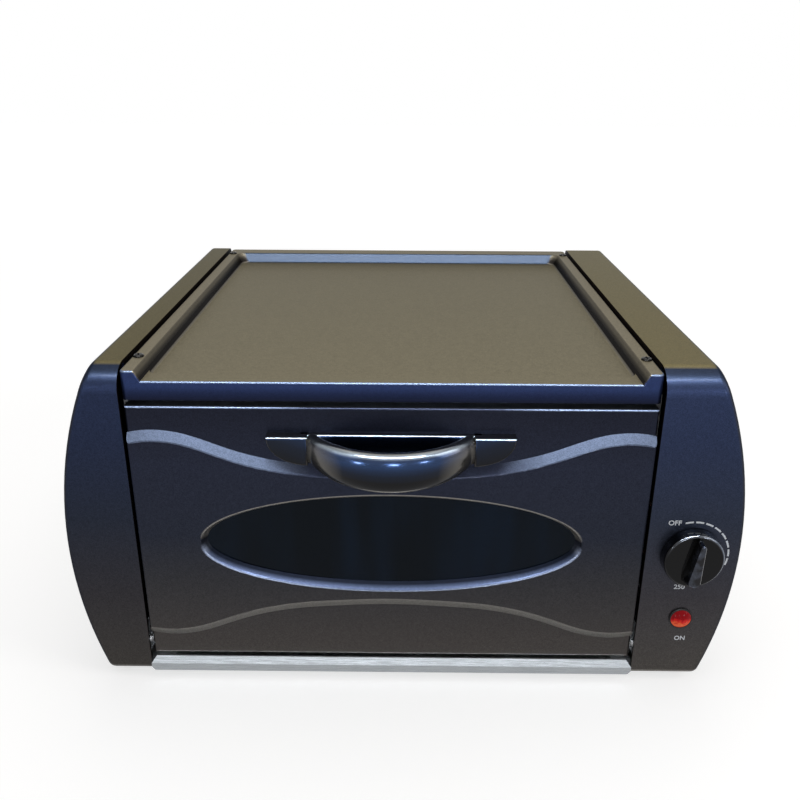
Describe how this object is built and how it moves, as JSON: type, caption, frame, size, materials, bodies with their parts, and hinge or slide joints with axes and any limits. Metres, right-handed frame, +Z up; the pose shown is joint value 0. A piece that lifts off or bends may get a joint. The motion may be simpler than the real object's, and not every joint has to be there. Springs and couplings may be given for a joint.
{
  "type": "countertop oven with griddle top",
  "caption": "Flat electric baking oven whose top is a recessed griddle, with a drop-down windowed door, bulging side covers, a heat knob, a wire rack and a pull-out crumb tray.",
  "frame": {"origin": "on the table under the middle of the whole oven's bounding box, at the feet's underside", "axes": "+X to the oven's right seen from the front, +Y from the door to the back, +Z up"},
  "size_m": [0.4884, 0.4366, 0.2524],
  "materials": {
    "cover_paint": "heat-proof moulding with dark blue-black metallic enamel, satin",
    "door_paint": "dark blue-black metallic enamel, satin",
    "griddle_coating": "cast aluminium with a dark brown-grey non-stick coating, satin",
    "griddle_screw_steel": "blackened steel",
    "chassis_steel": "galvanised sheet",
    "lip_steel": "bright satin steel",
    "rack_chrome": "chromed wire",
    "element_sheath": "dark annealed steel",
    "insulator_ceramic": "unglazed ceramic",
    "window_glass": "smoked tempered glass",
    "handle_plastic": "black, glossy",
    "knob_plastic": "black, glossy",
    "lens_plastic": "dark red, clear",
    "bezel_plastic": "black",
    "thermostat_plastic": "dark grey",
    "bright_steel": "zinc-plated steel",
    "screw_steel": "zinc-plated steel",
    "wire_insulation": "red-brown heat-proof sleeve",
    "gland_plastic": "black nylon",
    "foot_rubber": "black"
  },
  "bodies": {
    "housing": {"base_plate": "chassis_steel", "left_side_cover": "cover_paint", "right_side_cover": "cover_paint", "back_panel": "chassis_steel", "left_cavity_wall": "chassis_steel", "right_cavity_wall": "chassis_steel", "cavity_back_wall": "chassis_steel", "front_top_rail": "chassis_steel", "front_bottom_rail": "chassis_steel", "griddle_plate": "griddle_coating", "griddle_screws": "griddle_screw_steel", "upper_heating_element": "element_sheath", "upper_element_clamps": "chassis_steel", "lower_heating_element": "element_sheath", "lower_element_brackets": "chassis_steel", "element_insulators": "insulator_ceramic", "left_rack_runner": "chassis_steel", "right_rack_runner": "chassis_steel", "hinge_bushes": "bright_steel", "thermostat_body": "thermostat_plastic", "thermostat_screws": "screw_steel", "indicator_lens": "lens_plastic", "lamp_bezel": "bezel_plastic", "lamp_nut": "bezel_plastic", "terminal_block": "bezel_plastic", "internal_wiring": "wire_insulation", "cord_gland": "gland_plastic", "rubber_feet": "foot_rubber", "foot_screws": "screw_steel", "base_screws": "screw_steel", "back_panel_screws": "screw_steel", "door_springs": "bright_steel"},
    "door": {"door_skin": "door_paint", "door_inner_panel": "chassis_steel", "door_panel_screws": "screw_steel", "window_glass": "window_glass", "door_handle": "handle_plastic", "handle_screws": "screw_steel", "hinge_plates": "chassis_steel", "hinge_pins": "bright_steel", "left_door_stay": "bright_steel", "right_door_stay": "bright_steel", "stay_rivets": "bright_steel"},
    "rack": {"wire_rack": "rack_chrome"},
    "tray": {"crumb_tray": "chassis_steel", "crumb_tray_lip": "lip_steel"},
    "knob": {"control_knob": "knob_plastic", "thermostat_shaft": "bright_steel"}
  },
  "joints": [
    {"name": "door_swing", "type": "hinge", "parent": "housing", "child": "door", "pos_m": [-0.00875, -0.17225, 0.028], "axis": [1, 0, 0], "range_deg": [0, 75], "stiffness_Nm_per_rad": 0.4, "springref_deg": -57.3, "deforming": ["door_springs"]},
    {"name": "rack_slide", "type": "slide", "parent": "housing", "child": "rack", "axis": [0, -1, 0], "range_m": [0, 0.12]},
    {"name": "crumb_tray_slide", "type": "slide", "parent": "housing", "child": "tray", "axis": [0, -1, 0], "range_m": [0, 0.33]},
    {"name": "knob_turn", "type": "hinge", "parent": "housing", "child": "knob", "pos_m": [0.20755, -0.194, 0.113], "axis": [0, 1, 0], "range_deg": [-35, 181]}
  ],
  "couplings": [
    {"joint": "rack_slide", "follows": "door_swing", "m_per_rad": 0.09}
  ]
}
